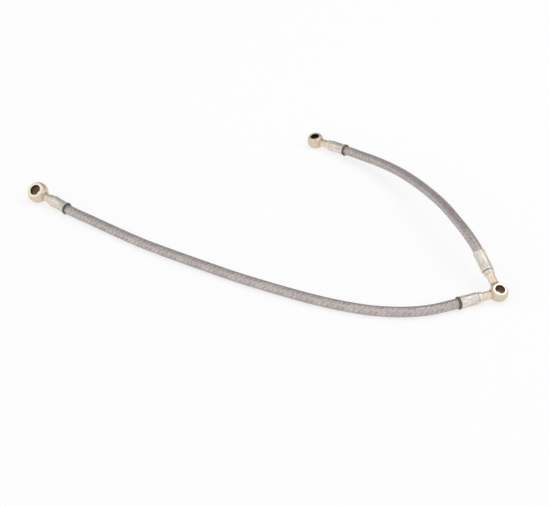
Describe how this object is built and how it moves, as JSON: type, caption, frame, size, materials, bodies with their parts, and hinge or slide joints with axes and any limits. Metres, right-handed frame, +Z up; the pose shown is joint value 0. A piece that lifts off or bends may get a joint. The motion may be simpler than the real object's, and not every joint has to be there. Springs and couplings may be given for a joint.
{
  "type": "compressor oil inlet pipe",
  "caption": "Braided oil hose assembly: a long and a short hose meet at a double banjo eye, and each ends in a banjo eye of its own, with crimped ferrules and rubber rings.",
  "frame": {"origin": "on the plane that the pipe lies on, under the middle of the box that its metal fittings and rubber rings fill", "axes": "+Z up from the plane, +X from the large eye towards the double eye along the long hose, +Y towards the small eye"},
  "size_m": [0.5282, 0.3872, 0.0461],
  "materials": {
    "yellow_zinc": "satin yellow zinc plate with a pink and gold sheen",
    "pale_zinc": "satin pale zinc plate with fine press marks",
    "braze": "dull braze metal under the plating",
    "steel_braid": "woven bright stainless wire",
    "liner_rubber": "matte black rubber",
    "ring_rubber": "matte black rubber"
  },
  "bodies": {
    "root": {"eye_left": "yellow_zinc", "eye_double": "yellow_zinc", "eye_top": "yellow_zinc", "stem_left": "yellow_zinc", "stem_double_front": "yellow_zinc", "stem_double_rear": "yellow_zinc", "stem_top": "yellow_zinc", "braze_left": "braze", "braze_double_front": "braze", "braze_double_rear": "braze", "braze_top": "braze", "ferrule_left": "pale_zinc", "ferrule_double_front": "pale_zinc", "ferrule_double_rear": "pale_zinc", "ferrule_top": "pale_zinc", "rubber_ring_left": "ring_rubber", "rubber_ring_double_front": "ring_rubber", "rubber_ring_top": "ring_rubber", "long_hose_braid": "steel_braid", "short_hose_braid": "steel_braid", "long_hose_liner": "liner_rubber", "short_hose_liner": "liner_rubber"}
  },
  "joints": []
}
